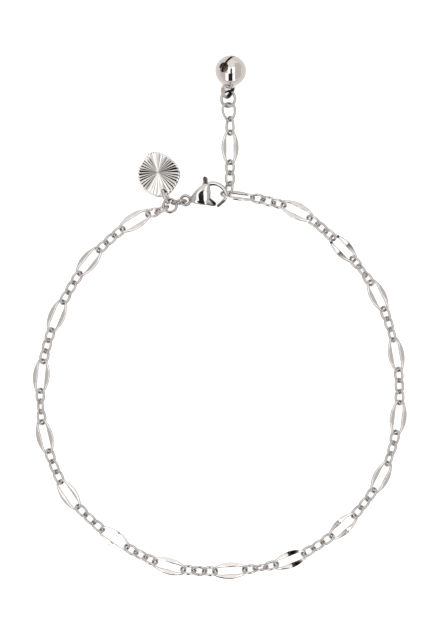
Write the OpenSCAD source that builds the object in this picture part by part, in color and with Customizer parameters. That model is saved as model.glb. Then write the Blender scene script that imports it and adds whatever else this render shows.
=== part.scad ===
// Anklet: a closed loop of three-small-and-one-long link chain with a lobster clasp, a sunburst
// charm, and an extender chain that ends in a small jingle bell. It lies flat on z = 0, with the
// extender towards +y. The origin is under the middle of its outer box.

/* [Chain] */
// Outside length of a small link
small_len = 3.35; // [3.3:0.01:3.4]
// Outside width of a small link
small_wid = 2.5; // [2.4:0.05:2.6]
// Outside length of a long link
long_len = 7.15; // [7.1:0.01:7.2]
// Outside width of a long link at its middle
long_wid = 3.6; // [3.4:0.05:3.7]
// Width of a long link's flattened side
side_wid = 0.9; // [0.6:0.05:0.95]
// Thickness of a long link's flattened side
side_thick = 0.42; // [0.35:0.01:0.5]
// Wire of every chain link
wire = 0.48; // [0.4:0.01:0.5]

/* [Rings] */
// Outside diameter of the jump ring at the clasp end
jump_od = 3.1; // [3:0.05:3.2]
// Outside diameter of the ring through the bell's loop
bell_ring_od = 3.7; // [3.6:0.05:3.8]
// Wire of the ring through the bell's loop
bell_ring_wire = 0.56; // [0.5:0.01:0.6]
// Outside length of the oval ring below the bell ring
end_ring_len = 4; // [3.95:0.01:4.05]
// Outside width of the oval ring below the bell ring
end_ring_wid = 3.2; // [3.1:0.05:3.3]
// Outside length of the last link of the extender
end_link_len = 4.1; // [4.05:0.01:4.15]
// Outside width of the last link of the extender
end_link_wid = 2.4; // [2.3:0.05:2.5]

/* [Clasp] */
// Outside diameter of the clasp's eye
eye_od = 2.5; // [2.4:0.05:2.6]
// Hole of the clasp's eye
eye_bore = 1.3; // [1.2:0.05:1.35]
// Radius of the hook's outer edge
hook_r = 3.15; // [3.1:0.01:3.2]
// Thickness of the clasp lever
lever_thick = 1.1; // [1:0.05:1.15]
// Bore of the lever on its pin
lever_bore = 0.6; // [0.58:0.01:0.65]
// Radial clearance of the pin in the lever
pin_fit = 0.03; // [0.02:0.01:0.05]

/* [Charm] */
// Radial pleats round the charm
pleats = 38; // [30:2:48]
// Thickness of the charm under its pleats
charm_thick = 0.4; // [0.35:0.05:0.5]
// Height of a pleat at the outline; it falls to nothing at the middle
pleat_rise = 0.11; // [0.05:0.01:0.14]
// Hole that the charm hangs by
charm_bore = 1.4; // [1.3:0.05:1.5]

/* [Bell] */
// Diameter of the ball
bell_d = 6.2; // [6.1:0.05:6.25]
// Wall of the ball
bell_wall = 0.4; // [0.3:0.05:0.5]
// Width of the slit
slit_wid = 0.35; // [0.3:0.05:0.5]
// Diameter of the round hole at each end of the slit
slit_end_d = 1.8; // [1.6:0.1:2]
// Diameter of the loose ball inside
pellet_d = 2.4; // [2:0.1:2.6]

/* [Hidden] */
$fn = 48;
steel = "silver";
wire_sides = 6;
small_sides = 12;
long_sides = 16;
// Power of a long link's oval: under 1, its ends are blunter than an ellipse's
long_blunt = 0.75;

// Long links round the loop, clockwise from the one after the clasp's. Columns: x, y, roll of the
// long link about its own length, and a list of the rolls of the small links after it.
stations = [
    [15.5, 21.2, -23, [43, -40, 42]],
    [24.7, 13.7, -22, [45, -60, 45]],
    [31.6, 4.3, -22, [42, -45, 58]],
    [35.3, -7.5, -27, [46, -42, 42]],
    [35.7, -20.1, -22, [42, -46, 58]],
    [32.3, -32.0, -25, [46, -42, 42]],
    [24.7, -41.8, -22, [42, -42, 42]],
    [14.1, -48.5, -22, [46, -60, 46]],
    [2.1, -50.7, -22, [42, -38, 42]],
    [-10.1, -49.8, -23, [43, -40, 42]],
    [-21.0, -44.3, -22, [42, -42, 42]],
    [-30.1, -35.5, -22, [42, -42, 42]],
    [-34.9, -23.9, -21, [45, -60, 45]],
    [-35.6, -11.8, -22, [42, -40, 43]],
    [-32.5, 0.2, -23, [43, -42, 42]],
    [-26.1, 11.1, -22, [42, -40, 42]],
    [-16.9, 19.2, -22, []]
];
// Where the loop comes from and goes to: the clasp's long link and the jump ring
lead_in = [3.6, 24.2];
lead_out = [-5.4, 23.6];

// Links that lie by hand. Columns: kind (0 small, 1 long, 2 end link), x, y, z, heading of the
// link's length, rise of its far end, roll.
left_end_links = [
    [0, -13.3, 20.8, 0.93, 17, -1, 43],
    [0, -11.55, 21.45, 1.15, 27, 0, -66]
];
hook_end_links = [
    [1, 3.65, 24.2, 1.78, -7, -5, -62],
    [0, 7.65, 23.65, 1.3, -13, -15, 40],
    [0, 9.75, 23.15, 0.95, -14, -4, -36],
    [0, 11.85, 22.6, 0.95, -16, 0, 43]
];
extender_links = [
    [0, 1.9, 25.6, 1.07, 77, 5, -51],
    [0, 2.1, 27.7, 0.91, 90, 0, 37],
    [0, 2.1, 29.9, 0.92, 90, 0, -42],
    [1, 2.1, 33.9, 0.93, 90, 0, 21],
    [2, 2.1, 38.2, 1.0, 90, 2, -44]
];
clasp_link_at = [0, -8.1, 22.95, 1.25, 9, 0, 74];
charm_link_at = [0, -10.75, 24.1, 1.25, 113, 0, 74];
jump_at = [-9.9, 22.25, 1.15];
end_ring_at = [1.9, 40.95, 1.05];
end_ring_roll = -29;
end_ring_heading = -86;
// How much the end link and the oval ring narrow towards each other
end_link_egg = 0.2;
end_ring_egg = 0.28;
bell_ring_at = [1.74, 43.58, 1.09];
bell_ring_heading = 74;
bell_ring_roll = -29;
bell_ring_rise = 9;

// Clasp: its eye's centre, the turn of its length from x, and how far its hook end rises
clasp_at = [-6.8, 23.3, 1.3];
clasp_turn = 7;
clasp_rise = 5;
pivot = [3.6, 0.4];
// Middle of the hook's outer arc
hook_mid = [5.5, 0];
// Turns of the hook's rings round that arc, and half width and half thickness at its root, with what
// each ring loses
hook_turns = [118, 100, 82, 64, 46, 28, 10, -8];
hook_half = [0.46, 0.5];
hook_loss = [0.012, 0.015];
// Rings of the hook's straight end. Columns: x, y, turn, half width, half thickness.
hook_end_rows = [
    [7.5, -1.08, -52, 0.36, 0.42],
    [6.5, -1.78, -54, 0.32, 0.4],
    [6.16, -2.05, -54, 0.2, 0.3]
];
// Slot that the lever swings in, open at the top and towards the hook
slot_outline = [
    [2.3, 4.6], [2.3, 2.0], [2.6, 0.4], [2.8, -0.4], [3.3, -2.6],
    [5.4, -2.6], [5.4, 0.6], [4.5, 1.0], [4.98, 3.0], [4.98, 4.6]
];
// Lever about its pivot: round parts at the boss, the tab's end and the gate's end (x, y, radius),
// and the outline that joins them
lever_rounds = [
    [0, 0, 0.78],
    [0.875, 3.5, 0.4],
    [2.1, -1.93, 0.33]
];
lever_outline = [
    [-0.62, -0.45], [0.2, -1.75], [1.75, -2.25], [2.1, -2.05], [2.35, -1.75],
    [0.74, 0.2], [1.22, 2.6], [1.25, 3.5], [0.5, 3.5], [0.35, 2.6], [-0.5, 0.55]
];
pin_len = 2.14;
// What the cheeks' bore is wider than the pin
bore_play = 0.02;
// Longer than any cut through the clasp or the charm
through = 4;
// Cheeks of the clasp. Columns: distance from the eye, lower edge, upper edge, half thickness.
cheek_rows = [
    [0.95, -0.35, 0.4, 0.35],
    [1.3, -0.7, 0.75, 0.62],
    [1.8, -0.92, 1.25, 1.0],
    [2.3, -1.08, 1.7, 1.16],
    [2.74, -1.22, 2.06, 1.19],
    [3.3, -1.42, 2.48, 1.14],
    [3.8, -1.54, 2.79, 1.07],
    [4.15, -1.52, 2.93, 1.0],
    [4.67, -1.0, 3.06, 0.88],
    [5.2, 0.0, 3.05, 0.74]
];
// Under 1, the cheeks' sections are fuller than ovals
cheek_fill = 0.64;
// Room for the lever in its slot, both sides together
slot_play = 0.14;

// Charm: centre of its rays, tilt that lifts its hole, and its outline's radius every 36 degrees
charm_at = [-12.3, 28.9];
charm_tilt = 4.6;
charm_radii = [4.4, 3.87, 3.85, 4.33, 3.9, 4.03, 4.37, 4.72, 4.93, 4.5];
hole_turn = 285.2;
hole_r = 3.896;

// Bell: centre of the ball, heading and rise of its axis, turn of its slit and of its loop about that
// axis, and the angle from the axis to the holes at the slit's ends
bell_at = [2.25, 49.1, bell_d / 2];
bell_heading = 81;
bell_rise = 24;
slit_turn = -34;
loop_turn = -45;
slit_reach = 63;
loop_len = 3.7;
loop_wid = 3.1;
// The loop is a bent strap: its thickness, its width, and how far it stands out of the ball
strap_thick = 0.5;
strap_wid = 1.1;
loop_out = 2.95;
loop_egg = 0.2;
// Turns the balls' poles and seam away from the slit, the holes and the loop
ball_turn = [0, 0, 90];
// Neck between ball and loop: depth in the ball, height, and radius at each end
neck = [0.35, 0.75, 1.35, 0.75];

// Point of a smooth curve through b and c, with a and d as their outer neighbours
function spline(a, b, c, d, t) =
    0.5 * (2 * b + t * (c - a) + t * t * (2 * a - 5 * b + 4 * c - d) + t * t * t * (3 * b - a - 3 * c + d));

// Heading of that curve
function spline_turn(a, b, c, d, t) =
    let (v = (c - a) + 2 * t * (2 * a - 5 * b + 4 * c - d) + 3 * t * t * (3 * b - a - 3 * c + d))
    atan2(v[1], v[0]);

// Centre line of a link at angle t: an oval with blunt ends when blunt is under 1, and narrower
// towards +x when it has an egg factor
function oval_at(a, b, blunt, egg, t) =
    [a * cos(t), b * sign(sin(t)) * pow(abs(sin(t)), blunt) * (1 - egg * cos(t))];
// Direction out of that oval, in its own plane
function oval_out(a, b, blunt, egg, t) =
    let (v = oval_at(a, b, blunt, egg, t + 5) - oval_at(a, b, blunt, egg, t - 5))
    [v[1], -v[0]] / norm(v);

// Rings of points round a link's wire, which swells to side_w by side_t at the middle of each side
function link_rings(length, width, gauge, side_w, side_t, count, blunt = 1, egg = 0) =
    let (a = (length - gauge) / 2, b = (width - side_w) / 2)
    [for (i = [0 : count - 1])
        let (
            t = 360 * i / count,
            p = oval_at(a, b, blunt, egg, t),
            n = oval_out(a, b, blunt, egg, t),
            swell = sin(t) * sin(t),
            half_w = (gauge + (side_w - gauge) * swell) / 2,
            half_t = (gauge + (side_t - gauge) * swell) / 2
        )
        [for (j = [0 : wire_sides - 1])
            let (f = 360 * j / wire_sides, w = half_w * cos(f))
            [p[0] + n[0] * w, p[1] + n[1] * w, half_t * sin(f)]]];

// Skin over equal rings of points. A closed skin joins its last ring to its first.
module skin(rings, closed = false) {
    n = len(rings);
    s = len(rings[0]);
    last = closed ? n - 1 : n - 2;
    sides = [for (i = [0 : last], j = [0 : s - 1])
        let (k = (i + 1) % n, m = (j + 1) % s)
        [i * s + j, i * s + m, k * s + m, k * s + j]];
    caps = closed ? [] : [[for (j = [s - 1 : -1 : 0]) j], [for (j = [0 : s - 1]) (n - 1) * s + j]];
    polyhedron([for (r = rings) each r], concat(sides, caps), convexity = 8);
}

module small_link() {
    skin(link_rings(small_len, small_wid, wire, wire, wire, small_sides), closed = true);
}

module long_link() {
    skin(link_rings(long_len, long_wid, wire, side_wid, side_thick, long_sides, long_blunt), closed = true);
}

module end_link() {
    skin(link_rings(end_link_len, end_link_wid, wire, wire, wire, small_sides, 1, end_link_egg), closed = true);
}

// A link of a row of the tables above, where that row says
module laid_link(row) {
    translate([row[1], row[2], row[3]])
        rotate([row[6], -row[5], row[4]])
            if (row[0] == 0) small_link();
            else if (row[0] == 1) long_link();
            else end_link();
}

// Height of a level link whose lower side touches the floor
function resting_z(kind, roll) =
    kind == 1
        ? (long_wid / 2) * abs(sin(roll)) + side_thick / 2 * cos(roll)
        : (small_wid - wire) / 2 * abs(sin(roll)) + wire / 2;

function station_xy(i) =
    i < 0 ? lead_in : i >= len(stations) ? lead_out : [stations[i][0], stations[i][1]];

// Each small link sits this far along from one long link to the next
small_steps = [0.325, 0.5, 0.675];

route_links = [for (i = [0 : len(stations) - 1])
    let (a = station_xy(i - 1), b = station_xy(i), c = station_xy(i + 1), d = station_xy(i + 2))
    each concat(
        [[1, b[0], b[1], resting_z(1, stations[i][2]), spline_turn(a, b, c, d, 0), 0, stations[i][2]]],
        [for (k = [0 : 1 : len(stations[i][3]) - 1])
            let (t = small_steps[k], p = spline(a, b, c, d, t), roll = stations[i][3][k])
            [0, p[0], p[1], resting_z(0, roll), spline_turn(a, b, c, d, t), 0, roll]]
    )];

module chain() {
    color(steel)
        for (row = concat(hook_end_links, route_links, left_end_links))
            laid_link(row);
}

module extender_chain() {
    color(steel)
        for (row = extender_links)
            laid_link(row);
}

module clasp_link() {
    color(steel) laid_link(clasp_link_at);
}

module charm_ring() {
    color(steel) laid_link(charm_link_at);
}

// A round ring about z
module round_ring(od, gauge) {
    rotate_extrude() translate([(od - gauge) / 2, 0]) circle(d = gauge);
}

module jump_ring() {
    color(steel) translate(jump_at) round_ring(jump_od, wire);
}

module bell_ring() {
    color(steel)
        translate(bell_ring_at)
            rotate([bell_ring_roll, -bell_ring_rise, bell_ring_heading])
                round_ring(bell_ring_od, bell_ring_wire);
}

module end_ring() {
    color(steel)
        translate(end_ring_at)
            rotate([end_ring_roll, 0, end_ring_heading])
                skin(link_rings(end_ring_len, end_ring_wid, wire, wire, wire, long_sides, 1, end_ring_egg),
                     closed = true);
}

module in_clasp() {
    translate(clasp_at) rotate([0, -clasp_rise, clasp_turn]) children();
}

// Rings of the cheeks' pillow-shaped block
function filled(v) = sign(v) * pow(abs(v), cheek_fill);
function cheek_rings() =
    [for (r = cheek_rows)
        let (mid = (r[1] + r[2]) / 2, half = (r[2] - r[1]) / 2)
        [for (j = [0 : 15])
            let (f = 360 * j / 16)
            [r[0], mid + half * filled(cos(f)), -r[3] * filled(sin(f))]]];

// Rings of the hook: round its outer edge from the cheeks, then straight to its tip
function hook_ring(p, turn, half_w, half_t) =
    [for (j = [0 : 9])
        let (f = 360 * j / 10)
        [p[0] + cos(turn) * half_w * cos(f), p[1] + sin(turn) * half_w * cos(f), -half_t * sin(f)]];
function hook_rings() =
    concat(
        [for (i = [0 : len(hook_turns) - 1])
            let (
                t = hook_turns[i],
                half = hook_half - i * hook_loss,
                r = hook_r - half[0]
            )
            hook_ring(hook_mid + r * [cos(t), sin(t)], t, half[0], half[1])],
        [for (row = hook_end_rows) hook_ring([row[0], row[1]], row[2], row[3], row[4])]
    );

module clasp_body() {
    color(steel) in_clasp() {
        difference() {
            union() {
                skin(cheek_rings());
                skin(hook_rings());
            }
            linear_extrude(lever_thick + slot_play, center = true) polygon(slot_outline);
            translate(pivot) cylinder(h = through, d = lever_bore - 2 * pin_fit + bore_play, center = true);
        }
        round_ring(eye_od, (eye_od - eye_bore) / 2);
    }
}

// The lever turns about its boss: its thumb tab is above it and its gate below
module clasp_lever() {
    color(steel) in_clasp()
        translate(pivot)
            difference() {
                union() {
                    for (round = lever_rounds)
                        translate([round[0], round[1], 0]) cylinder(h = lever_thick, r = round[2], center = true);
                    linear_extrude(lever_thick, center = true) polygon(lever_outline);
                }
                cylinder(h = through, d = lever_bore, center = true);
            }
}

module clasp_pin() {
    color(steel) in_clasp()
        translate(pivot) cylinder(h = pin_len, d = lever_bore - 2 * pin_fit, center = true);
}

// Radius of the charm's outline at a turn, smooth through the radii in the table
function charm_radius(turn) =
    let (
        n = len(charm_radii),
        s = turn / 360 * n,
        i = floor(s),
        r = [for (k = [-1 : 2]) charm_radii[(i + k + n) % n]]
    )
    spline(r[0], r[1], r[2], r[3], s - i);

// Rings of the charm from the middle of its face out over the pleats and the rim to its back.
// Columns: share of the outline's radius, height, and share of the pleats' rise.
charm_rows = [
    [0.03, 0.03, 0],
    [0.45, 0.03, 0.45],
    [0.9, 0.03, 0.9],
    [0.93, 0.12, 0],
    [0.985, 0.12, 0],
    [1, 0.04, 0],
    [1, -charm_thick + 0.08, 0],
    [0.98, -charm_thick, 0]
];
function charm_rings() =
    [for (row = charm_rows)
        [for (k = [0 : 2 * pleats - 1])
            let (turn = 180 * k / pleats, r = row[0] * charm_radius(turn))
            [r * cos(turn), r * sin(turn), row[1] + (k % 2) * row[2] * pleat_rise]]];

module sun_charm() {
    far_edge = charm_radius((hole_turn + 180) % 360);
    color(steel)
        translate([charm_at[0], charm_at[1], charm_thick + far_edge * sin(charm_tilt)])
            rotate([0, 0, hole_turn])
                rotate([0, -charm_tilt, 0])
                    rotate([0, 0, -hole_turn])
                        difference() {
                            skin(charm_rings());
                            rotate([0, 0, hole_turn])
                                translate([hole_r, 0, 0]) cylinder(h = through, d = charm_bore, center = true);
                        }
}

// The bell's own frame: its axis along x, its loop at -x
module in_bell() {
    translate(bell_at) rotate([0, -bell_rise, bell_heading]) children();
}

module bell() {
    outer = bell_d / 2;
    color(steel) in_bell()
        difference() {
            union() {
                rotate(ball_turn) sphere(r = outer, $fn = 64);
                rotate([0, -90, 0])
                    translate([0, 0, outer - neck[0]]) cylinder(h = neck[1], r1 = neck[2], r2 = neck[3]);
                translate([loop_len / 2 - outer - loop_out, 0, 0])
                    rotate([loop_turn, 0, 180])
                        scale([1, 1, strap_wid / strap_thick])
                            skin(link_rings(loop_len, loop_wid, strap_thick, strap_thick, strap_thick,
                                            long_sides, 1, loop_egg), closed = true);
            }
            rotate(ball_turn) sphere(r = outer - bell_wall, $fn = 64);
            rotate([slit_turn, 0, 0]) {
                translate([outer * cos(slit_reach), -slit_wid / 2, -outer])
                    cube([outer, slit_wid, 2 * outer]);
                for (side = [-1, 1])
                    rotate([0, side * slit_reach, 0])
                        rotate([0, 90, 0]) translate([0, 0, outer / 2]) cylinder(h = outer, d = slit_end_d);
            }
        }
}

// Room under the loose ball, which rests in the lowest place inside
pellet_gap = 0.12;

module bell_pellet() {
    drop = bell_d / 2 - bell_wall - pellet_d / 2 - pellet_gap;
    color(steel) translate(bell_at - [0, 0, drop]) sphere(d = pellet_d);
}

chain();
extender_chain();
jump_ring();
clasp_link();
clasp_body();
clasp_lever();
clasp_pin();
sun_charm();
charm_ring();
end_ring();
bell_ring();
bell();
bell_pellet();
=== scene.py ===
import math
import random

import bmesh
import bpy
import numpy as np
from mathutils import Matrix, Vector


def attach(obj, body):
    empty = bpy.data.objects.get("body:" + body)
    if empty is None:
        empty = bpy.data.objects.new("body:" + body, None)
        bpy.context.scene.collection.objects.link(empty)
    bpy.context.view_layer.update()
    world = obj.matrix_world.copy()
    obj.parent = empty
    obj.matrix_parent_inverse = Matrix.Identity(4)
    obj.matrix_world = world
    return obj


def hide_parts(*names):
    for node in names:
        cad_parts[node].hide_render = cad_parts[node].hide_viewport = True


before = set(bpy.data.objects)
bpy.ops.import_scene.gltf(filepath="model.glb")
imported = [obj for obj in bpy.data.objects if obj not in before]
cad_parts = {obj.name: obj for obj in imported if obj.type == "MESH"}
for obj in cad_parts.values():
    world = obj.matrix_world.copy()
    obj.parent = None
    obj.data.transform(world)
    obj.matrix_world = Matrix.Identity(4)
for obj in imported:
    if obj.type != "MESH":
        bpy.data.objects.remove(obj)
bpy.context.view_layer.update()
print("frame loaded:", len(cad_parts), "nodes")

# Pieces are shaped in millimetres and brought to metres when they are finished
toMetres = Matrix.Scale(0.001, 4)
mainBody = "anklet"
leverBody = "lever"
tiny = 1e-6                 # a difference under this is none
boreReach = 2               # half the length of a cutter that goes right through a piece
shadeBelow = 0.8             # what faces up less than this, as its normal's z, begins to get painted shade


# Small helpers for numbers and meshes

def clamp(value):
    return min(1, max(0, value))


def fadeBetween(value, start, end):
    # 0 up to the start, 1 past the end
    return clamp((value - start) / (end - start))


def headingAt(turn):
    # Unit vector in the plane z = 0 at a turn in degrees
    return Vector((math.cos(math.radians(turn)), math.sin(math.radians(turn)), 0))


def toMesh(name, bm):
    # The mesh of a bmesh, which ends here
    mesh = bpy.data.meshes.new(name)
    bm.to_mesh(mesh)
    bm.free()
    return mesh


def toObject(name, bm):
    thing = bpy.data.objects.new(name, toMesh(name, bm))
    bpy.context.scene.collection.objects.link(thing)
    return thing


def removeObject(thing):
    mesh = thing.data
    bpy.data.objects.remove(thing)
    bpy.data.meshes.remove(mesh)


def addMesh(bm, mesh):
    # Adds a mesh to a bmesh and gives its vertices there
    count = len(bm.verts)
    bm.from_mesh(mesh)
    bm.verts.ensure_lookup_table()
    return bm.verts[count:]


def toneAndShadeLayer(bm):
    # How much each vertex is darkened, from 0 to 1: a darker tone in some places, painted shade and painted dark
    # reflection in others
    layers = bm.verts.layers.float
    return layers.get("toneAndShade") or layers.new("toneAndShade")


def addSideShade(bm, sideShare):
    # Paints shade on what faces sideways or down, darkening it by a share more
    layer = toneAndShadeLayer(bm)
    bm.normal_update()
    for vert in bm.verts:
        side = fadeBetween(vert.normal.z, shadeBelow, 0)
        vert[layer] = 1 - (1 - sideShare * side) * (1 - vert[layer])


def throughModifiers(bm, modifiers):
    # Runs a bmesh through a list of (type, settings) modifiers and gives the result back as a bmesh
    shaping = toObject("shaping", bm)
    for kind, settings in modifiers:
        modifier = shaping.modifiers.new(kind.lower(), kind)
        for key, value in settings.items():
            setattr(modifier, key, value)
    graph = bpy.context.evaluated_depsgraph_get()
    result = bmesh.new()
    result.from_mesh(shaping.evaluated_get(graph).to_mesh())
    removeObject(shaping)
    return result


def combine(bm, steps):
    # Joins other solids to a solid or cuts them out of it, in order. Steps: (how, solid)
    tools, modifiers = [], []
    for how, solid in steps:
        bmesh.ops.recalc_face_normals(solid, faces=solid.faces)
        tools.append(toObject("tool", solid))
        modifiers.append(("BOOLEAN", {"object": tools[-1], "operation": how, "solver": "EXACT"}))
    result = throughModifiers(bm, modifiers)
    for tool in tools:
        removeObject(tool)
    return result


def cutWith(bm, cutters):
    return combine(bm, [("DIFFERENCE", cutter) for cutter in cutters])


def cylinderBm(radius, low, high, place, segments):
    bm = bmesh.new()
    bmesh.ops.create_cone(bm, cap_ends=True, segments=segments, radius1=radius, radius2=radius, depth=high - low,
                          matrix=place @ Matrix.Translation((0, 0, (low + high) / 2)))
    return bm


def boreBm(radius, at, segments):
    # A cutter through a piece that lies about z = 0
    return cylinderBm(radius, -boreReach, boreReach, Matrix.Translation((*at, 0)), segments)


def outlineBm(points, thickness, cornerRound=0.0, edgeRound=0.0):
    # A slab about z = 0 with the outline of the points, its corners and edges rounded
    bm = bmesh.new()
    bm.faces.new([bm.verts.new((x, y, -thickness / 2)) for x, y in points])
    if cornerRound:
        bmesh.ops.bevel(bm, geom=bm.verts[:], offset=cornerRound, segments=4, profile=0.5, affect="VERTICES",
                        material=-1)
    made = bmesh.ops.extrude_face_region(bm, geom=bm.faces[:])
    lifted = [v for v in made["geom"] if isinstance(v, bmesh.types.BMVert)]
    bmesh.ops.translate(bm, verts=lifted, vec=(0, 0, thickness))
    bmesh.ops.recalc_face_normals(bm, faces=bm.faces)
    if edgeRound:
        rims = [e for e in bm.edges if abs(e.verts[0].co.z - e.verts[1].co.z) < tiny]
        bmesh.ops.bevel(bm, geom=rims, offset=edgeRound, segments=3, profile=0.5, affect="EDGES", material=-1)
    return bm


def ringEdges(bm, verts):
    ring = set(verts)
    return [e for e in bm.edges if e.verts[0] in ring and e.verts[1] in ring]


def bridgeRings(bm, rings):
    for first, second in zip(rings, rings[1:]):
        bmesh.ops.bridge_loops(bm, edges=first + second)
    bmesh.ops.recalc_face_normals(bm, faces=bm.faces)


def addLoft(bm, ovals, sides, fill=1.0):
    # Skin over ovals. Each one is (middle, half axis, other half axis); the ends are closed. With a fill under
    # 1 the ovals are fuller, towards a box.
    rings = []
    for index, (middle, across, over) in enumerate(ovals):
        across, over = Vector(across), Vector(over)
        axes = Matrix((across, over, across.cross(over).normalized())).transposed()
        place = Matrix.Translation(middle) @ axes.to_4x4()
        made = bmesh.ops.create_circle(bm, cap_ends=index in (0, len(ovals) - 1), segments=sides, radius=1,
                                       matrix=place)
        if fill != 1:
            inverse = place.inverted()
            for vert in made["verts"]:
                spot = inverse @ vert.co
                spot.x = math.copysign(abs(spot.x) ** fill, spot.x)
                spot.y = math.copysign(abs(spot.y) ** fill, spot.y)
                vert.co = place @ spot
        rings.append(ringEdges(bm, made["verts"]))
    bridgeRings(bm, rings)


def torusBm(ringRadius, wireRadius, place, sweep=360, turns=72, sides=18):
    # A round ring spun from its wire; with a sweep under a full turn its two ends are closed
    bm = bmesh.new()
    made = bmesh.ops.create_circle(
        bm, cap_ends=False, segments=sides, radius=wireRadius,
        matrix=Matrix.Translation((ringRadius, 0, 0)) @ Matrix.Rotation(math.radians(90), 4, "X"))
    full = sweep >= 360
    bmesh.ops.spin(bm, geom=made["verts"] + bm.edges[:], cent=(0, 0, 0), axis=(0, 0, 1), dvec=(0, 0, 0),
                   angle=math.radians(sweep), steps=turns, use_merge=full, use_duplicate=False)
    if not full:
        bmesh.ops.holes_fill(bm, edges=[e for e in bm.edges if e.is_boundary], sides=0)
    bmesh.ops.transform(bm, matrix=place, verts=bm.verts)
    bmesh.ops.recalc_face_normals(bm, faces=bm.faces)
    return bm


# Helpers for shader nodes. What a node is given is a number, a colour or another node's socket

def feed(tree, socket, value):
    if isinstance(value, bpy.types.NodeSocket):
        tree.links.new(value, socket)
    else:
        socket.default_value = value


def mathNode(tree, operation, *values):
    node = tree.nodes.new("ShaderNodeMath")
    node.operation = operation
    for socket, value in zip(node.inputs, values):
        feed(tree, socket, value)
    return node.outputs[0]


def rangeNode(tree, value, start, end, smooth=False):
    # 0 up to the start, 1 past the end
    node = tree.nodes.new("ShaderNodeMapRange")
    if smooth:
        node.interpolation_type = "SMOOTHSTEP"
    feed(tree, node.inputs["Value"], value)
    feed(tree, node.inputs["From Min"], start)
    feed(tree, node.inputs["From Max"], end)
    return node.outputs["Result"]


def mixNode(tree, share, first, second):
    node = tree.nodes.new("ShaderNodeMix")
    node.data_type = "RGBA"
    feed(tree, node.inputs["Factor"], share)
    feed(tree, node.inputs["A"], first)
    feed(tree, node.inputs["B"], second)
    return node.outputs["Result"]


def noiseNode(tree, place, scale, detail):
    node = tree.nodes.new("ShaderNodeTexNoise")
    feed(tree, node.inputs["Vector"], place)
    node.inputs["Scale"].default_value = scale
    node.inputs["Detail"].default_value = detail
    return node.outputs["Fac"]


def groupSocket(group, name, way, kind, value=None):
    socket = group.interface.new_socket(name=name, in_out=way, socket_type=kind)
    if value is not None:
        socket.default_value = value


# Finishes: one group of wear, polish and painted shade for every steel, and one material for each kind of part

polishLook = {
    "cloudScale": 900, "cloudDetail": 3, "cloudHeight": 0.4,
    "scratchTurn": (0.2, 0.1, 0.6), "scratchStretch": (1, 14, 6), "scratchScale": 1400, "scratchDetail": 5,
    "scratchFrom": 0.56, "scratchTo": 0.7,      # the part of the noise that shows as scratches
    "scratchRoughness": 0.1,
    "warmFrom": 0.35, "warmTo": 0.65, "warmTone": (0.86, 0.74, 0.62, 1),
    "darkTone": (0.022, 0.018, 0.016, 1),
}


def makePolishGroup():
    # Soft cloudiness, fine scratches and a slight warmth that wander over polished steel
    look = polishLook
    group = bpy.data.node_groups.new("steelPolish", "ShaderNodeTree")
    groupSocket(group, "Tone", "INPUT", "NodeSocketColor", (0.7, 0.68, 0.66, 1))
    for name, value in (("Warmth", 0.03), ("Polish", 0.1), ("Cloudiness", 0.06), ("Scratches", 0.3),
                        ("ToneAndShade", 0.0)):
        groupSocket(group, name, "INPUT", "NodeSocketFloat", value)
    groupSocket(group, "Colour", "OUTPUT", "NodeSocketColor")
    groupSocket(group, "Roughness", "OUTPUT", "NodeSocketFloat")
    groupSocket(group, "Height", "OUTPUT", "NodeSocketFloat")
    given = group.nodes.new("NodeGroupInput").outputs
    result = group.nodes.new("NodeGroupOutput").inputs
    place = group.nodes.new("ShaderNodeTexCoord").outputs["Object"]

    cloud = noiseNode(group, place, look["cloudScale"], look["cloudDetail"])
    stretched = group.nodes.new("ShaderNodeMapping")
    stretched.inputs["Rotation"].default_value = look["scratchTurn"]
    stretched.inputs["Scale"].default_value = look["scratchStretch"]
    feed(group, stretched.inputs["Vector"], place)
    scratch = noiseNode(group, stretched.outputs["Vector"], look["scratchScale"], look["scratchDetail"])
    thin = rangeNode(group, scratch, look["scratchFrom"], look["scratchTo"])
    scratches = mathNode(group, "MULTIPLY", thin, given["Scratches"])

    rough = mathNode(group, "MULTIPLY_ADD", cloud, given["Cloudiness"], given["Polish"])
    worn = mathNode(group, "MULTIPLY_ADD", scratches, look["scratchRoughness"], rough)
    feed(group, result["Roughness"], worn)
    warm = rangeNode(group, cloud, look["warmFrom"], look["warmTo"])
    tone = mixNode(group, mathNode(group, "MULTIPLY", warm, given["Warmth"]), given["Tone"], look["warmTone"])
    # the attribute mixes the tone towards near-black: a darker tone in places, painted shade and painted dark
    # reflection in others
    feed(group, result["Colour"], mixNode(group, given["ToneAndShade"], tone, look["darkTone"]))
    feed(group, result["Height"], mathNode(group, "MULTIPLY_ADD", cloud, look["cloudHeight"], scratches))
    return group


steelFinishes = {
    "chainSteel": {"slot": "chain_steel", "tone": (0.86, 0.83, 0.815, 1), "warmth": 0.10, "polish": 0.07,
                   "cloudiness": 0.06, "scratches": 0.4, "bump": 0.03},
    "claspSteel": {"slot": "clasp_steel", "tone": (0.65, 0.63, 0.615, 1), "warmth": 0.06, "polish": 0.05,
                   "cloudiness": 0.05, "scratches": 0.3, "bump": 0.04},
    "charmSteel": {"slot": "charm_steel", "tone": (0.74, 0.72, 0.705, 1), "warmth": 0.06, "polish": 0.07,
                   "cloudiness": 0.06, "scratches": 0.3, "bump": 0.04},
    "bellSteel": {"slot": "bell_steel", "tone": (0.73, 0.695, 0.675, 1), "warmth": 0.12, "polish": 0.035,
                  "cloudiness": 0.05, "scratches": 0.3, "bump": 0.03},
}
bumpDistance = 0.00002      # in metres


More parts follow.
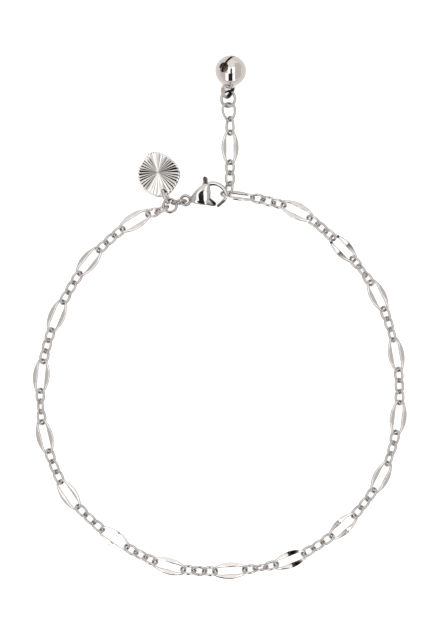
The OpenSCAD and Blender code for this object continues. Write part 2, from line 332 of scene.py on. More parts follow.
def makeSteel(name, polishGroup):
    look = steelFinishes[name]
    material = bpy.data.materials.new(name)
    material.use_nodes = True
    tree = material.node_tree
    shader = tree.nodes["Principled BSDF"]
    shader.inputs["Metallic"].default_value = 1.0
    shader.inputs["Specular IOR Level"].default_value = 0.5
    polish = tree.nodes.new("ShaderNodeGroup")
    polish.node_tree = polishGroup
    for setting in ("tone", "warmth", "polish", "cloudiness", "scratches"):
        polish.inputs[setting.capitalize()].default_value = look[setting]
    # the attribute darkens the tone: a darker tone in places, painted shade and painted dark reflection in others
    toneAndShade = tree.nodes.new("ShaderNodeAttribute")
    toneAndShade.attribute_name = "toneAndShade"
    feed(tree, polish.inputs["ToneAndShade"], toneAndShade.outputs["Fac"])
    bump = tree.nodes.new("ShaderNodeBump")
    bump.inputs["Strength"].default_value = look["bump"]
    bump.inputs["Distance"].default_value = bumpDistance
    feed(tree, bump.inputs["Height"], polish.outputs["Height"])
    feed(tree, shader.inputs["Base Color"], polish.outputs["Colour"])
    feed(tree, shader.inputs["Roughness"], polish.outputs["Roughness"])
    feed(tree, shader.inputs["Normal"], bump.outputs["Normal"])
    return material


polishGroup = makePolishGroup()
steels = {name: makeSteel(name, polishGroup) for name in steelFinishes}
print("finishes ready")


def dressPiece(piece, steelName, sharpAngle):
    mesh = piece.data
    mesh.shade_smooth()
    mesh.set_sharp_from_angle(angle=math.radians(sharpAngle))
    mesh.materials.clear()
    mesh.materials.append(steels[steelName])


def finishPiece(name, bm, steelName, nodeName, sharpAngle, body=mainBody, place=None):
    # Makes a bmesh in millimetres the piece that takes a node's place and rides on its body
    piece = toObject(name, bm)
    if place is not None:
        piece.data.transform(place)
    piece.data.transform(toMetres)
    dressPiece(piece, steelName, sharpAngle)
    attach(piece, body)
    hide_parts(nodeName)
    print("made", name, "with", len(piece.data.polygons), "faces")


# Chain links: each one lies exactly where its solid in the frame lies

linkLook = {
    "loopMiddle": (0.2, -14.0),
    "mergeGap": 0.000001,       # points of a solid closer than this are one, in metres
    "endShare": 0.5,            # a link's ends begin at this share of its half length
    "eggFrom": 0.05,            # a link whose ends differ by more than this in half width is egg-shaped
    "longLength": 6.0,          # links longer than this are long ones
    "eggLength": 3.8,           # small links longer than this are drawn egg-shaped
    "smallTurns": 44, "smallSides": 14,
    "longTurns": 64, "longSides": 18,
    "wire": 0.52,
    "blunt": 0.69,              # under 1, a long link's oval is fuller
    "headingStep": 5,           # degrees to each side over which the wire's heading is taken
    "sideWidth": 1.0, "sideThick": 0.42,    # a long link's hammered sides where they are widest
    "swell": 5.5,               # how late they widen from the wire
    "flatness": 0.22,           # under 1, they have flatter faces
    "flatGrowth": 1.4,          # over 1, they are flat before they are widest
    "facetReach": 1.6,          # how many of a ring's steps beside a face's break are drawn to it
    "facetGap": 0.12,           # and how close they come, as a share
    "facetBreak": 0.022,        # width of the break, as a cosine of the turn round the link
    "facetEnds": 0.6,           # a face's own angle fades where the sine of that turn is less
    "plainTilt": 3,             # degrees by which the faces may lie uneven where they have no angle of their own
    "seed": 11,
    "smallPatina": 0.3, "longPatina": 0.15,
    "paintedLightFrom": -36, "paintedLightTo": -44,     # long links past these places, in millimetres, are darkened less: a painted brighter reflection
    # painted shade on the wires' sides and at the link ends where others cross
    "sideShade": 0.45, "innerCrossingShade": 0.46, "outerCrossingShade": 0.36,
    "endFrom": 0.72,            # the painted crossing shade at the ends begins here, as a cosine of the turn
    "startBand": (0.7, 0.79),   # and here a face's band of painted dark reflection begins and ends
    "breakFade": 1.2, "mostFaceShade": 0.97,
    "sharpAngle": 60,
}
# Long links whose hammered faces lie at an angle of their own, counted from 0 round the loop from the clasp. A
# face has two halves that meet at a break: their turns in degrees, their painted dark reflection beside the
# break, and the painted dark reflection of a band where the first half begins.
turnedFaces = {
    2: {"turns": (10, 0), "darkeningAndShade": (0.0, 0.8), "startShade": 0.97},
    7: {"turns": (10, 0), "darkeningAndShade": (0.0, 0.65), "startShade": 0.0},
    8: {"turns": (17, 42), "darkeningAndShade": (2.4, 0.0), "startShade": 0.0},
    9: {"turns": (42, 42), "darkeningAndShade": (0.0, 0.0), "startShade": 0.0},
    10: {"turns": (42, 42), "darkeningAndShade": (0.0, 0.0), "startShade": 0.0},
}
# Pieces that are made of links: the node that each replaces, and where it differs from the loop. An egg's one
# end is narrower and its other one wider by that share.
linkPieces = {
    "chain": {"pieceName": "loop_links"},
    "extender_chain": {"pieceName": "extender_links", "egg": 0.2},
    "clasp_link": {"pieceName": "clasp_end_link", "darkeningAndShade": 0.5},
    "charm_ring": {"pieceName": "charm_hanger", "wire": 0.6, "strap": 1.25},
    "end_ring": {"pieceName": "oval_end_ring", "egg": 0.28},
}


def solidPoints(nodeName):
    # The loose solids of a node, as arrays of their points in millimetres
    bm = bmesh.new()
    bm.from_mesh(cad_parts[nodeName].data)
    bmesh.ops.remove_doubles(bm, verts=bm.verts, dist=linkLook["mergeGap"])
    solids, seen = [], set()
    for first in bm.verts:
        if first in seen:
            continue
        seen.add(first)
        waiting, points = [first], []
        while waiting:
            vert = waiting.pop()
            points.append(vert.co * 1000)
            for edge in vert.link_edges:
                other = edge.other_vert(vert)
                if other not in seen:
                    seen.add(other)
                    waiting.append(other)
        solids.append(np.array(points, dtype=float))
    bm.free()
    return solids


def solidAxes(points):
    # The directions in which a solid is longest and flattest, the second pointing up
    axes = np.linalg.eigh(np.cov((points - points.mean(axis=0)).T))[1]
    along, out = axes[:, 2], axes[:, 0]
    return along, -out if out[2] < 0 else out


def turnRound(point):
    # Clockwise angle of a point round the loop from its top, where the clasp is
    x, y = point[0] - linkLook["loopMiddle"][0], point[1] - linkLook["loopMiddle"][1]
    return math.atan2(x, y) % (2 * math.pi)


def linkPose(points):
    # Place and size of a link's solid: x along the link, z out of its plane. An egg-shaped link heads towards
    # its narrow end and any other clockwise round the loop.
    middle = points.mean(axis=0)
    along, out = solidAxes(points)
    local = (points - middle) @ np.stack([along, np.cross(out, along)], axis=1)
    reach = np.abs(local[:, 0]).max() * linkLook["endShare"]
    front = np.abs(local[local[:, 0] > reach, 1]).max()
    back = np.abs(local[local[:, 0] < -reach, 1]).max()
    ahead = np.array([middle[1] - linkLook["loopMiddle"][1], linkLook["loopMiddle"][0] - middle[0], 0])
    flip = front > back if abs(front - back) > linkLook["eggFrom"] else along @ ahead < 0
    if flip:
        along = -along
    axes = np.stack([along, np.cross(out, along), out], axis=1)
    local = (points - middle) @ axes
    size = local.max(axis=0) - local.min(axis=0)
    centre = middle + axes @ ((local.max(axis=0) + local.min(axis=0)) / 2)
    place = Matrix.Translation(Vector(centre)) @ Matrix([list(row) for row in axes]).to_4x4()
    return place, size


plainRadius = 4             # middle radius of the plain ring, for a wire radius of 1
plainRings = {}


def plainRing(turns, sides):
    # The mesh that links are drawn out of, spun once for each number of faces
    if (turns, sides) not in plainRings:
        ring = torusBm(plainRadius, 1, Matrix(), turns=turns, sides=sides)
        plainRings[turns, sides] = toMesh("plainRing", ring)
    return plainRings[turns, sides]


def ovalPoint(a, b, blunt, egg, turn):
    s = math.sin(turn)
    return Vector((a * math.cos(turn), b * math.copysign(abs(s) ** blunt, s) * (1 - egg * math.cos(turn)), 0))


def crossingShade(turn, u):
    # Painted shade at a link's ends, where others cross it, darkest on the wire's inner side
    inside = clamp(0.5 - u)
    end = fadeBetween(abs(math.cos(turn)), linkLook["endFrom"], 1)
    return end * (linkLook["innerCrossingShade"] * inside + linkLook["outerCrossingShade"] * (1 - inside))


def faceShade(turn, faces):
    # How much painted dark reflection a hammered face has at a turn round the link
    out = abs(math.cos(turn))
    half = 0 if math.cos(turn) < 0 else 1
    low, high = linkLook["startBand"]
    if half == 0 and low < out < high:
        darkeningAndShade = faces["startShade"]
    else:
        darkeningAndShade = faces["darkeningAndShade"][half] * max(0, 1 - out * linkLook["breakFade"])
    return min(linkLook["mostFaceShade"], darkeningAndShade)


def nearBreak(turn, turns):
    # Draws the steps beside a face's break close to it, so that it is a crease
    fromMiddle = abs(turn) - math.pi / 2
    if abs(fromMiddle) < linkLook["facetReach"] * 2 * math.pi / turns:
        turn = math.copysign(math.pi / 2 + fromMiddle * linkLook["facetGap"], turn)
    return turn


def hammeredPoint(turn, u, v, wire, faces):
    # Where a point of the round wire goes when the sides are beaten wide and flat and their faces are turned
    swell = abs(math.sin(turn)) ** linkLook["swell"]
    flat = 1 + (linkLook["flatness"] - 1) * min(1, swell * linkLook["flatGrowth"])
    wide = (wire + (linkLook["sideWidth"] - wire) * swell) / 2 * u
    thick = (wire + (linkLook["sideThick"] - wire) * swell) / 2 * math.copysign(abs(v) ** flat, v)
    share = clamp(0.5 + math.cos(turn) / linkLook["facetBreak"])
    tilt = math.radians(faces["turns"][0] * (1 - share) + faces["turns"][1] * share)
    tilt *= math.copysign(min(1, abs(math.sin(turn)) / linkLook["facetEnds"]), math.sin(turn))
    return wide * math.cos(tilt) - thick * math.sin(tilt), thick * math.cos(tilt) + wide * math.sin(tilt)


def addLink(bm, place, size, wire, turns, sides, egg=0.0, blunt=1.0, faces=None, strap=1.0, worn=None,
            grounded=True):
    # Draws a plain ring out to a link's oval. With faces its sides are hammered; strap widens it out of its
    # plane; worn darkens the link by that much, and painted shade darkens it more where others cross. The ring's
    # normals already point outwards and stay so: counted anew over interlocked links, some would turn inside out.
    sideWidth = linkLook["sideWidth"] if faces else wire
    a, b = (size[0] - wire) / 2, (size[1] - sideWidth) / 2
    step = math.radians(linkLook["headingStep"])
    layer = toneAndShadeLayer(bm)
    for vert in addMesh(bm, plainRing(turns, sides)):
        turn = math.atan2(vert.co.y, vert.co.x)
        u = math.hypot(vert.co.x, vert.co.y) - plainRadius
        v = vert.co.z
        # a uniform darkening, and painted shade where other links cross
        if worn is not None:
            vert[layer] = max(worn, crossingShade(turn, u))
        if faces:
            turn = nearBreak(turn, turns)
            # the hammered faces' tops get painted dark reflection
            if v > 0:
                vert[layer] = max(vert[layer], faceShade(turn, faces))
            u, v = hammeredPoint(turn, u, v, wire, faces)
        else:
            u, v = u * wire / 2, v * wire / 2
        middle = ovalPoint(a, b, blunt, egg, turn)
        heading = ovalPoint(a, b, blunt, egg, turn + step) - ovalPoint(a, b, blunt, egg, turn - step)
        outward = Vector((heading.y, -heading.x, 0)).normalized()
        vert.co = place @ (middle + outward * u + Vector((0, 0, v * strap)))
        if grounded:
            vert.co.z = max(vert.co.z, 0)


def makeLinks(nodeName, pieceName, egg=0.0, wire=linkLook["wire"], strap=1.0, darkeningAndShade=linkLook["smallPatina"]):
    look = linkLook
    dice = random.Random(look["seed"])
    bm = bmesh.new()
    poses = [linkPose(points) for points in solidPoints(nodeName)]
    longSeen = 0
    for place, size in sorted(poses, key=lambda pose: turnRound(pose[0].translation)):
        if size[0] > look["longLength"]:
            turns = (look["plainTilt"] * dice.uniform(-1, 1), look["plainTilt"] * dice.uniform(-1, 1))
            faces = turnedFaces.get(longSeen, {"turns": turns, "darkeningAndShade": (0, 0), "startShade": 0})
            longSeen += 1
            # long links towards the bottom are darkened less: a painted brighter reflection
            paintedHighlight = fadeBetween(place.translation.y, look["paintedLightFrom"], look["paintedLightTo"])
            addLink(bm, place, size, wire, look["longTurns"], look["longSides"], blunt=look["blunt"],
                    faces=faces, worn=look["longPatina"] * (1 - paintedHighlight))
        else:
            addLink(bm, place, size, wire, look["smallTurns"], look["smallSides"],
                    egg=egg if size[0] > look["eggLength"] else 0, strap=strap, worn=darkeningAndShade)
    # painted shade on the wires' sides and undersides
    addSideShade(bm, look["sideShade"])
    finishPiece(pieceName, bm, "chainSteel", nodeName, look["sharpAngle"])


for linksNode, settings in linkPieces.items():
    makeLinks(linksNode, **settings)


# Round jump rings, each with the fine cut where it was opened and closed

ringLook = {
    "jump_ring": {"piece": "round_jump_ring", "solidWire": 0.48, "wire": 0.54, "cutTurn": 200, "cut": 1.2,
                  "toneAndShade": 0.45},
    "bell_ring": {"piece": "round_bell_ring", "solidWire": 0.56, "wire": 0.56, "cutTurn": 60, "cut": 1.0,
                  "toneAndShade": 0.3},
}


def makeRing(nodeName):
    look = ringLook[nodeName]
    points = solidPoints(nodeName)[0]
    middle = (points.max(axis=0) + points.min(axis=0)) / 2
    outer = np.linalg.norm(points - middle, axis=1).max()
    out = Vector(solidAxes(points)[1])
    place = (Matrix.Translation(Vector(middle)) @ out.to_track_quat("Z", "Y").to_matrix().to_4x4()
             @ Matrix.Rotation(math.radians(look["cutTurn"]), 4, "Z"))
    bm = torusBm(outer - look["solidWire"] / 2, look["wire"] / 2, place, sweep=360 - look["cut"])
    layer = toneAndShadeLayer(bm)
    for vert in bm.verts:
        vert[layer] = look["toneAndShade"]
        vert.co.z = max(vert.co.z, 0)
    # painted shade on the wire's sides and underside
    addSideShade(bm, linkLook["sideShade"])
    finishPiece(look["piece"], bm, "chainSteel", nodeName, linkLook["sharpAngle"])


for ringNode in ringLook:
    makeRing(ringNode)


# Lobster clasp, in its own frame: the eye at the origin and the hook towards x

claspLook = {
    "eyeAt": (-6.8, 23.3, 1.3), "turn": 7, "rise": 5,
    "eyeRadius": 0.95, "eyeWire": 0.3, "eyeTurns": 56, "eyeSides": 18,
    "cheekSides": 48, "cheekFill": 0.64,
    "hookMiddle": (5.5, 0), "hookRadius": 3.15, "hookSides": 24,
    "hookWide": 0.46, "hookThick": 0.5,         # halves, where the hook leaves the cheeks
    "lessWide": 0.006, "lessThick": 0.0075,     # how much they lose from one section to the next
    "voxel": 0.07, "softening": 9,
    "slot": 1.24,
    "pivot": (3.6, 0.4), "pinRadius": 0.27, "bodyBore": 0.28, "leverBore": 0.3, "boreSides": 32,
    "leverThick": 1.1, "cornerRound": 0.16, "edgeRound": 0.14,
    "tabFrom": 1.9, "tabMiddle": 0.86, "tabHalf": 0.42,
    "tabBlend": 0.8,            # length over which the thumb tab becomes round
    "tabRound": 0.55, "tabLean": 0.12, "tabCurl": 0.16, "curlFrom": 0.2,
    "tabCutsFrom": 1.6,
    # painted shade on the edges and the gate, painted dark reflection on the tab's crown and the hook's inner
    # edge; the eye is darker all over
    "edgeShade": 0.45, "gateShade": 0.85, "tabShade": 0.95, "hookShade": 0.9, "eyePatina": 0.4,
    "gateBelow": -0.3,
    "archFrom": (-0.3, 1.2), "innerEdge": (0.45, 0.7),      # depths where the inner edge gets painted dark reflection
    "tipFrom": (0.3, -0.9), "tipWay": (0.586, -0.81), "tipEdge": (1.9, 2.0),
    "rivetSharp": 35, "shellSharp": 45, "gateSharp": 40,
}
# Cheeks: distance from the eye, lower edge, upper edge, half thickness
cheekRows = [
    (0.95, -0.35, 0.4, 0.35),
    (1.3, -0.7, 0.75, 0.65),
    (1.8, -0.92, 1.25, 1.02),
    (2.05, -1.0, 1.5, 1.12),
    (2.28, -1.07, 1.69, 1.165),
    (2.5, -1.14, 1.88, 1.188),
    (2.74, -1.22, 2.06, 1.19),
    (3.1, -1.36, 2.35, 1.158),
    (3.45, -1.46, 2.58, 1.115),
    (3.8, -1.54, 2.79, 1.065),
    (4.15, -1.52, 2.93, 0.995),
    (4.4, -1.35, 3.0, 0.93),
    (4.6, -1.1, 3.04, 0.855),
    (4.8, -0.8, 3.07, 0.765),
    (5.0, -0.4, 3.08, 0.66),
    (5.2, 0.0, 3.05, 0.55),
]
# Hook: turns of its round part's sections, in degrees, then its straight tip's sections as middle, turn, half
# width and half thickness
hookTurns = range(118, -9, -9)
hookTip = [
    ((7.5, -1.08, 0), -52, 0.36, 0.42),
    ((6.5, -1.78, 0), -54, 0.32, 0.4),
    ((6.16, -2.05, 0), -54, 0.2, 0.3),
]
# Slot between the cheeks, which the lever swings in
slotOutline = [(2.3, 4.6), (2.3, 2.0), (2.6, 0.4), (2.8, -0.4), (3.3, -2.6), (5.4, -2.6), (5.4, 0.6), (4.5, 1.0),
               (4.98, 3.0), (4.98, 4.6)]
# Lever about its pivot, with the gate at its lower right and the thumb tab at its top
leverOutline = [(-0.62, -0.45), (0.1, -1.7), (1.75, -2.25), (2.36, -2.17), (2.48, -1.68), (0.78, 0.2),
                (1.28, 2.6), (1.36, 3.55), (0.88, 3.92), (0.4, 3.55), (0.25, 2.6), (-0.45, 0.75), (-0.78, 0.1)]
# Cuts that give the thumb tab the points to bend by: across it at these heights, and along it
tabCutsAcross = [y / 5 for y in range(9, 20)]
tabCutsAlong = [0.62, 0.74, 0.86, 0.98, 1.1]


def claspPlace():
    return (Matrix.Translation(claspLook["eyeAt"]) @ Matrix.Rotation(math.radians(claspLook["turn"]), 4, "Z")
            @ Matrix.Rotation(math.radians(-claspLook["rise"]), 4, "Y"))


def hookSections():
    look = claspLook
    sections = []
    for index, turn in enumerate(hookTurns):
        halfWide = look["hookWide"] - look["lessWide"] * index
        halfThick = look["hookThick"] - look["lessThick"] * index
        out = headingAt(turn)
        middle = Vector((*look["hookMiddle"], 0)) + out * (look["hookRadius"] - halfWide)
        sections.append((middle, out * halfWide, (0, 0, halfThick)))
    for middle, turn, halfWide, halfThick in hookTip:
        sections.append((middle, headingAt(turn) * halfWide, (0, 0, halfThick)))
    return sections


def claspSkin():
    # One skin over eye, cheeks and hook, softened where they meet
    look = claspLook
    bm = torusBm(look["eyeRadius"], look["eyeWire"], Matrix(), turns=look["eyeTurns"], sides=look["eyeSides"])
    cheeks = [((x, (low + high) / 2, 0), (0, (high - low) / 2, 0), (0, 0, half))
              for x, low, high, half in cheekRows]
    addLoft(bm, cheeks, look["cheekSides"], fill=look["cheekFill"])
    addLoft(bm, hookSections(), look["hookSides"])
    return throughModifiers(bm, [
        ("REMESH", {"mode": "VOXEL", "voxel_size": look["voxel"]}),
        ("SMOOTH", {"factor": 0.5, "iterations": look["softening"]}),
    ])


def shadeAndDarkenClasp(bm):
    # Painted dark reflection along the hook's inner edge and under its tip; the eye is darker all over
    look = claspLook
    layer = toneAndShadeLayer(bm)
    middle = Vector((*look["hookMiddle"], 0))
    inner = [look["hookRadius"] - depth for depth in look["innerEdge"]]
    for vert in bm.verts:
        out = vert.co - middle
        if out.x > look["archFrom"][0] and out.y > look["archFrom"][1]:
            vert[layer] = look["hookShade"] * fadeBetween(math.hypot(out.x, out.y), *inner)
        elif out.x > look["tipFrom"][0] and out.y < look["tipFrom"][1]:
            under = out.x * look["tipWay"][0] + out.y * look["tipWay"][1]
            vert[layer] = look["hookShade"] * fadeBetween(under, *look["tipEdge"])
        elif vert.co.x < look["eyeRadius"]:
            vert[layer] = look["eyePatina"]


def makeClaspBody():
    look = claspLook
    skin = claspSkin()
    pin = combine(skin.copy(), [("INTERSECT", boreBm(look["pinRadius"], look["pivot"], look["boreSides"]))])
    finishPiece("clasp_rivet", pin, "claspSteel", "clasp_pin", look["rivetSharp"], place=claspPlace())
    slot = outlineBm(slotOutline, look["slot"])
    shell = cutWith(skin, [slot, boreBm(look["bodyBore"], look["pivot"], look["boreSides"])])
    shadeAndDarkenClasp(shell)
    # painted shade on the shell's edges
    addSideShade(shell, look["edgeShade"])
    finishPiece("clasp_shell", shell, "claspSteel", "clasp_body", look["shellSharp"], place=claspPlace())


def makeLever():
    look = claspLook
    bm = outlineBm(leverOutline, look["leverThick"], cornerRound=look["cornerRound"], edgeRound=look["edgeRound"])
    cuts = [((0, y, 0), (0, 1, 0)) for y in tabCutsAcross] + [((x, 0, 0), (1, 0, 0)) for x in tabCutsAlong]
    for middle, way in cuts:
        near = [v for v in bm.verts if v.co.y > look["tabCutsFrom"]]
        part = {e for v in near for e in v.link_edges} | {f for v in near for f in v.link_faces}
        bmesh.ops.bisect_plane(bm, geom=near + list(part), plane_co=middle, plane_no=way)
    # the thumb tab is round in section and curls up a little; its crown gets a painted dark reflection and the
    # gate painted shade
    layer = toneAndShadeLayer(bm)
    for vert in bm.verts:
        out = vert.co.y - look["tabFrom"]
        if out > 0:
            fade = min(1, out / look["tabBlend"])
            aside = (vert.co.x - look["tabMiddle"]) / look["tabHalf"]
            vert.co.z *= 1 - fade * look["tabRound"] * min(1, aside * aside)
            vert.co.z += look["tabCurl"] * max(0, out - look["curlFrom"]) ** 2 - look["tabLean"] * fade * aside
            vert[layer] = look["tabShade"] * max(0, 1 - aside * aside)
        elif vert.co.y < look["gateBelow"]:
            vert[layer] = look["gateShade"]
    # painted shade on the lever's edges
    addSideShade(bm, look["edgeShade"])
    bmesh.ops.translate(bm, verts=bm.verts, vec=(*look["pivot"], 0))
    bm = cutWith(bm, [boreBm(look["leverBore"], look["pivot"], look["boreSides"])])
    finishPiece("clasp_gate", bm, "claspSteel", "clasp_lever", look["gateSharp"], body=leverBody,
                place=claspPlace())


makeClaspBody()
makeLever()


# Sunburst charm: a pebble outline with radial pleats that are a little uneven, as cut ones are

charmLook = {
    "middle": (-12.3, 28.9), "tilt": 4.6, "thick": 0.4,
    "radii": (4.4, 3.87, 3.85, 4.33, 3.9, 4.03, 4.37, 4.72, 4.93, 4.5),     # evenly round the outline
    "holeTurn": 285.2, "holeOut": 3.896, "hole": 0.7, "holeSides": 36,
    "pleats": 38, "rise": 0.137, "stepsPerPleat": 8,
    "uneven": 0.2,              # how much the pleats differ in height and in the place of their crest
    "lean": 0.12,               # how far the crests shift at the left and right
    "calm": 0.3,                # how much lower the pleats are at the top and bottom
    "seed": 655,
    # painted shade on the charm's sides and underside; the face a little darker all over
    "edgeShade": 0.4, "facePatina": 0.04,
    "flankShade": 1.0, "flankShadeFrom": 0.07, "flankShadeTo": 0.11,       # painted dark reflection on one flank, and the slopes where it begins and is full
    "faceUp": 0.5,              # what faces up less than this is not the face
    "sharpAngle": 12,
}
# Charm section: share of the outline's radius, height, share of the pleats' rise
charmSection = [
    (0.02, 0.03, 0.02), (0.2, 0.03, 0.2), (0.45, 0.03, 0.45), (0.7, 0.03, 0.7), (0.91, 0.03, 0.91),
    (0.93, 0.1, 0.1), (0.945, 0.12, 0), (0.985, 0.115, 0), (1, 0.06, 0), (1, -0.32, 0), (0.98, -0.4, 0),
    (0.5, -0.4, 0), (0.02, -0.4, 0),
]


def smoothThrough(values, turn):
    # Value of a closed smooth curve through evenly spaced values, at a turn in degrees
    n = len(values)
    s = (turn % 360) / 360 * n
    i = int(s)
    a, b, c, d = (values[(i + k) % n] for k in (-1, 0, 1, 2))
    t = s - i
    return 0.5 * (2 * b + t * (c - a) + t * t * (2 * a - 5 * b + 4 * c - d) + t ** 3 * (3 * b - a - 3 * c + d))


def charmBody():
    # The pleated disc, without its hole
    look = charmLook
    dice = random.Random(look["seed"])
    pleats = look["pleats"]
    middles = [math.radians((pleat + 0.5) * 360 / pleats) for pleat in range(pleats)]
    heights = [(1 - look["uneven"] * dice.random()) * (1 - look["calm"] * abs(math.sin(turn))) for turn in middles]
    peaks = [0.5 + (dice.random() - 0.5) * 2 * look["uneven"] + look["lean"] * math.cos(turn) for turn in middles]
    bm = bmesh.new()
    rings = []
    for index, (share, height, rise) in enumerate(charmSection):
        made = bmesh.ops.create_circle(bm, cap_ends=index in (0, len(charmSection) - 1),
                                       segments=pleats * look["stepsPerPleat"], radius=1)
        rings.append(ringEdges(bm, made["verts"]))
        for vert in made["verts"]:
            turn = math.degrees(math.atan2(vert.co.y, vert.co.x)) % 360
            along = turn / 360 * pleats
            pleat = int(along + tiny)
            within, peak = along - pleat, peaks[pleat % pleats]
            crest = within / peak if within < peak else (1 - within) / (1 - peak)
            radius = share * smoothThrough(look["radii"], turn)
            vert.co = (radius * math.cos(math.radians(turn)), radius * math.sin(math.radians(turn)),
                       height + rise * look["rise"] * heights[pleat % pleats] * crest)
    bridgeRings(bm, rings)
    return bm


def makeCharm():
    look = charmLook
    out = math.radians(look["holeTurn"])
    holeAt = (look["holeOut"] * math.cos(out), look["holeOut"] * math.sin(out))
    bm = cutWith(charmBody(), [boreBm(look["hole"], holeAt, look["holeSides"])])
    # one flank of each pleat is painted darker than the other: a painted dark reflection
    layer = toneAndShadeLayer(bm)
    bm.normal_update()
    for vert in bm.verts:
        if vert.normal.z > look["faceUp"]:
            around = Vector((-vert.co.y, vert.co.x)).normalized()
            slope = -vert.normal.xy.dot(around) * around.y
            share = fadeBetween(slope, look["flankShadeFrom"], look["flankShadeTo"])
            vert[layer] = max(look["facePatina"], look["flankShade"] * share)
    # painted shade on the charm's sides and underside
    addSideShade(bm, look["edgeShade"])
    # it lies tilted, with its hole's side raised on the ring and the far edge on the surface
    tilt = math.radians(look["tilt"])
    farEdge = smoothThrough(look["radii"], look["holeTurn"] + 180)
    turned = Matrix.Rotation(out, 4, "Z")
    place = (Matrix.Translation((*look["middle"], look["thick"] + farEdge * math.sin(tilt)))
             @ turned @ Matrix.Rotation(-tilt, 4, "Y") @ turned.inverted())
    finishPiece("sunburst_charm", bm, "charmSteel", "sun_charm", look["sharpAngle"], place=place)


makeCharm()


# Jingle bell: a hollow ball with a slit between two round holes, a flared neck and a tapering loop

bellLook = {
    "middle": (2.25, 49.1, 3.1), "heading": 81, "rise": 24,
    "radius": 3.1, "wall": 0.4, "ballFaces": (96, 64), "innerFaces": (64, 40),
    "slitTurn": -34, "slit": 0.5, "slitReach": 63,
    "holeRadius": 1.02, "holeFrom": 1.5, "holePast": 1.5, "holeSides": 48,
    "neckSides": 40,
    "loopTurn": -45, "loopLength": 3.7, "loopWidth": 3.1, "strapThick": 0.5, "strapWidth": 1.1, "loopOut": 2.95,
    "loopEgg": 0.2, "loopTurns": 64, "loopSides": 20,
    # the loop is darker past loopFrom, with painted shade on its inner side
    "loopFrom": 3.5, "loopPatina": 0.3, "loopInsideShade": 0.95, "insideGrowth": 2,
    "sharpAngle": 35, "pelletSharp": 40,
}
# The neck's outline: distance from the ball's centre, radius
neckProfile = [(2.5, 1.84), (2.7, 1.66), (2.9, 1.52), (3.1, 1.38), (3.3, 1.22), (3.45, 1.02), (3.53, 0.8),
               (3.55, 0.45)]


poleToX = Matrix.Rotation(math.radians(90), 4, "Y")


def ballBm(faces, radius):
    bm = bmesh.new()
    bmesh.ops.create_uvsphere(bm, u_segments=faces[0], v_segments=faces[1], radius=radius, matrix=poleToX)
    return bm


def makeBell():
    look = bellLook
    radius = look["radius"]
    neck = bmesh.new()
    addLoft(neck, [((-x, 0, 0), (0, r, 0), (0, 0, r)) for x, r in neckProfile], look["neckSides"])
    loop = bmesh.new()
    loopAt = (Matrix.Translation((look["loopLength"] / 2 - radius - look["loopOut"], 0, 0))
              @ Matrix.Rotation(math.pi, 4, "Z") @ Matrix.Rotation(math.radians(look["loopTurn"]), 4, "X"))
    addLink(loop, loopAt, (look["loopLength"], look["loopWidth"]), look["strapThick"], look["loopTurns"],
            look["loopSides"], egg=look["loopEgg"], strap=look["strapWidth"] / look["strapThick"], grounded=False)
    slitTurn = Matrix.Rotation(math.radians(look["slitTurn"]), 4, "X")
    start = radius * math.cos(math.radians(look["slitReach"]))
    slit = bmesh.new()
    box = Matrix.Translation((start + radius / 2, 0, 0)) @ Matrix.Diagonal((radius, look["slit"], 2 * radius, 1))
    bmesh.ops.create_cube(slit, size=1, matrix=slitTurn @ box)
    steps = [("UNION", neck), ("UNION", loop), ("DIFFERENCE", ballBm(look["innerFaces"], radius - look["wall"])),
             ("DIFFERENCE", slit)]
    for side in (-1, 1):
        aim = slitTurn @ Matrix.Rotation(math.radians(side * look["slitReach"]), 4, "Y") @ poleToX
        hole = cylinderBm(look["holeRadius"], look["holeFrom"], radius + look["holePast"], aim, look["holeSides"])
        steps.append(("DIFFERENCE", hole))
    bm = combine(ballBm(look["ballFaces"], radius), steps)
    # the loop is darker, and painted shade darkens it most where it faces its own middle
    layer = toneAndShadeLayer(bm)
    bm.normal_update()
    for vert in bm.verts:
        if vert.co.x < -look["loopFrom"]:
            inwards = vert.normal.dot((loopAt.translation - vert.co).normalized())
            share = clamp(inwards * look["insideGrowth"])
            vert[layer] = look["loopPatina"] + (look["loopInsideShade"] - look["loopPatina"]) * share
    place = (Matrix.Translation(look["middle"]) @ Matrix.Rotation(math.radians(look["heading"]), 4, "Z")
             @ Matrix.Rotation(math.radians(-look["rise"]), 4, "Y"))
    finishPiece("jingle_bell", bm, "bellSteel", "bell", look["sharpAngle"], place=place)


makeBell()

# The loose ball inside keeps its solid and gets the bell's finish
dressPiece(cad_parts["bell_pellet"], "bellSteel", bellLook["pelletSharp"])


# Studio: a white floor, and a surround of grey and white cards that the steel mirrors

floorLook = {"size": 3.0, "colour": (0.9, 0.9, 0.9, 1), "roughness": 0.9, "glow": 0.62}


def makeFloor():
    bm = bmesh.new()
    bmesh.ops.create_grid(bm, x_segments=1, y_segments=1, size=floorLook["size"] / 2)
    floor = toObject("floor", bm)
    material = bpy.data.materials.new("whiteSweep")
    material.use_nodes = True
    shader = material.node_tree.nodes["Principled BSDF"]
    shader.inputs["Base Color"].default_value = floorLook["colour"]
    shader.inputs["Roughness"].default_value = floorLook["roughness"]
    shader.inputs["Specular IOR Level"].default_value = 0.0
    shader.inputs["Emission Color"].default_value = (1, 1, 1, 1)
    shader.inputs["Emission Strength"].default_value = floorLook["glow"]
    floor.data.materials.append(material)
    floor.visible_glossy = False


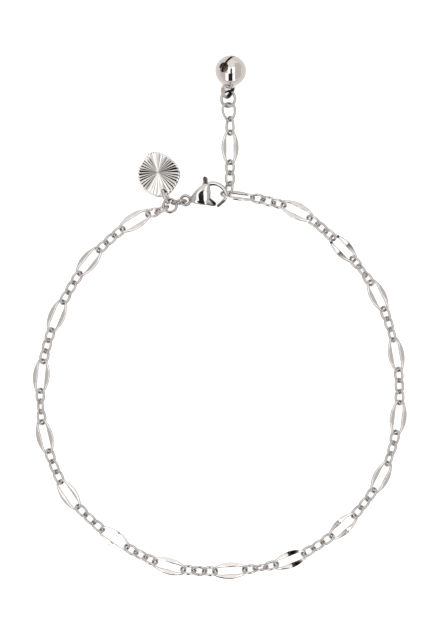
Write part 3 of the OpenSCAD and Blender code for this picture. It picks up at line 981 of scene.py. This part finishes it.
def makeCardGroup():
    # 1 inside a soft-edged card and 0 outside it, on the face of a mirror ball seen from above
    group = bpy.data.node_groups.new("softCard", "ShaderNodeTree")
    for name in ("X", "Y", "MiddleX", "MiddleY", "HalfX", "HalfY", "Soft"):
        groupSocket(group, name, "INPUT", "NodeSocketFloat", 0.0)
    groupSocket(group, "Mask", "OUTPUT", "NodeSocketFloat")
    given = group.nodes.new("NodeGroupInput").outputs
    result = group.nodes.new("NodeGroupOutput").inputs
    sides = []
    for axis in ("X", "Y"):
        away = mathNode(group, "ABSOLUTE", mathNode(group, "SUBTRACT", given[axis], given["Middle" + axis]))
        outer = mathNode(group, "ADD", given["Half" + axis], given["Soft"])
        inner = mathNode(group, "SUBTRACT", given["Half" + axis], given["Soft"])
        sides.append(rangeNode(group, away, outer, inner, smooth=True))
    feed(group, result["Mask"], mathNode(group, "MULTIPLY", *sides))
    return group


# What the steel mirrors outside the cards: the room above, and the table from the horizon to straight below
surroundLook = {
    "room": (1.0, 0.985, 0.97, 1), "tableFar": (0.8, 0.77, 0.755, 1), "tableNear": (0.95, 0.925, 0.91, 1),
    "horizon": 0.03,            # half the height over which the room and the table blend
    "belowBall": 0.001,         # keeps the direction straight down away from a division by zero
}
# Cards: middle x, middle y, half width, half height, softness, colour
studioCards = {
    "rightGrey": (0.46, -0.03, 0.21, 0.52, 0.03, (0.66, 0.645, 0.63, 1)),
    "leftGrey": (-0.47, -0.08, 0.23, 0.5, 0.03, (0.66, 0.64, 0.62, 1)),
    "leftWhite": (-0.11, -0.02, 0.085, 0.22, 0.015, (1.7, 1.7, 1.7, 1)),
    "leftWhiteFoot": (-0.22, -0.42, 0.12, 0.24, 0.02, (1.7, 1.7, 1.7, 1)),
    "rightWhite": (0.175, -0.22, 0.085, 0.44, 0.015, (1.7, 1.7, 1.7, 1)),
    "standTop": (0.027, -0.1, 0.058, 0.2, 0.012, (0.02, 0.02, 0.02, 1)),
    "standFoot": (-0.02, -0.44, 0.135, 0.24, 0.015, (0.02, 0.02, 0.02, 1)),
    "standArm": (0.13, -0.235, 0.11, 0.014, 0.008, (0.02, 0.02, 0.02, 1)),
}


def makeSurround():
    look = surroundLook
    world = bpy.data.worlds.new("studio")
    world.use_nodes = True
    bpy.context.scene.world = world
    tree = world.node_tree
    place = tree.nodes.new("ShaderNodeTexCoord")
    parts = tree.nodes.new("ShaderNodeSeparateXYZ")
    feed(tree, parts.inputs[0], place.outputs["Generated"])
    # a mirror ball seen from above shows a direction (x, y, z) where x and y are divided by sqrt(2 + 2z)
    root = mathNode(tree, "SQRT", mathNode(tree, "MULTIPLY_ADD", parts.outputs["Z"], 2, 2 + look["belowBall"]))
    x, y = (mathNode(tree, "DIVIDE", parts.outputs[axis], root) for axis in ("X", "Y"))
    cardGroup = makeCardGroup()
    colour = look["room"]
    for name, (middleX, middleY, halfX, halfY, soft, tone) in studioCards.items():
        card = tree.nodes.new("ShaderNodeGroup")
        card.node_tree = cardGroup
        card.label = name
        given = {"X": x, "Y": y, "MiddleX": middleX, "MiddleY": middleY, "HalfX": halfX, "HalfY": halfY,
                 "Soft": soft}
        for socket, value in given.items():
            feed(tree, card.inputs[socket], value)
        colour = mixNode(tree, card.outputs["Mask"], colour, tone)
    table = mixNode(tree, rangeNode(tree, parts.outputs["Z"], 0.0, -1.0), look["tableFar"], look["tableNear"])
    below = rangeNode(tree, parts.outputs["Z"], look["horizon"], -look["horizon"])
    colour = mixNode(tree, below, colour, table)
    # the cards show in the steel; the view past the floor's edge is plain white
    sight = tree.nodes.new("ShaderNodeLightPath")
    colour = mixNode(tree, sight.outputs["Is Camera Ray"], colour, (1, 1, 1, 1))
    background = tree.nodes["Background"]
    feed(tree, background.inputs["Color"], colour)
    background.inputs["Strength"].default_value = 1.0


cameraLook = {"middle": (0.0001, -0.0001), "height": 1.0, "lens": 283.46, "sensor": 36, "near": 0.01, "far": 20}


def makeCamera():
    data = bpy.data.cameras.new("camera")
    data.lens = cameraLook["lens"]
    data.sensor_width = cameraLook["sensor"]
    data.clip_start = cameraLook["near"]
    data.clip_end = cameraLook["far"]
    camera = bpy.data.objects.new("camera", data)
    camera.location = (*cameraLook["middle"], cameraLook["height"])
    bpy.context.scene.collection.objects.link(camera)
    bpy.context.scene.camera = camera


makeFloor()
makeSurround()
makeCamera()
bpy.context.scene.view_settings.view_transform = "Standard"
bpy.context.scene.view_settings.look = "None"
print("studio ready")
